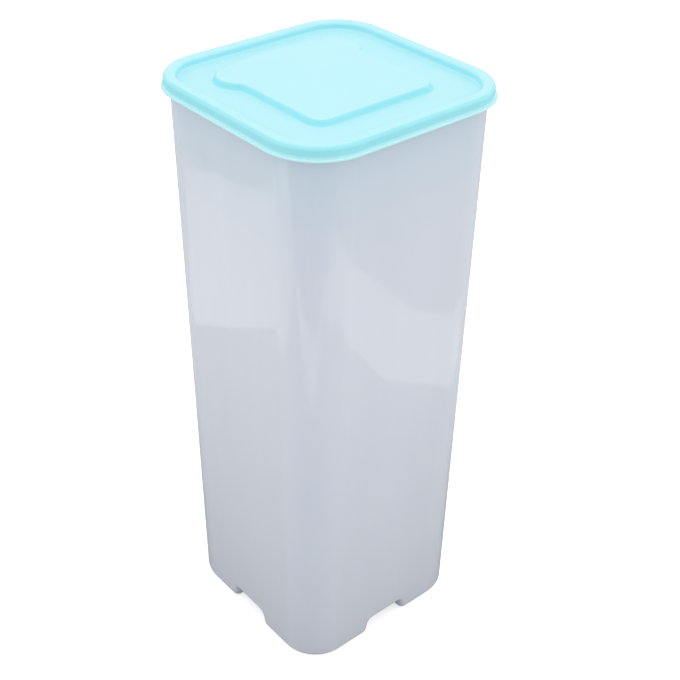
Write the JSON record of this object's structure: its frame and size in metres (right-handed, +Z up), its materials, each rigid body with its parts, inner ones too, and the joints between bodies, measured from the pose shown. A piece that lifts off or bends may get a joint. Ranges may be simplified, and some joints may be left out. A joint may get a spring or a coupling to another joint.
{
  "type": "bread box",
  "caption": "Tall square bread box in translucent plastic with tapered sides, hollow corner feet and a press-on lid that carries a raised bread-slice panel.",
  "frame": {"origin": "on the table, in the middle of the box's footprint", "axes": "+Z up, -Y towards the bottom edge of the lid's bread-slice panel, +X to the right of it"},
  "size_m": [0.14, 0.14, 0.35],
  "materials": {
    "container_plastic": "milky translucent polypropylene, glossy, faint blue-grey",
    "lid_plastic": "opaque pale aqua polyethylene, satin"
  },
  "bodies": {
    "container": {"container": "container_plastic"},
    "lid": {"lid": "lid_plastic"}
  },
  "joints": [
    {"name": "lid_lift", "type": "slide", "parent": "container", "child": "lid", "axis": [0, 0, 1], "range_m": [0, 0.2]}
  ]
}
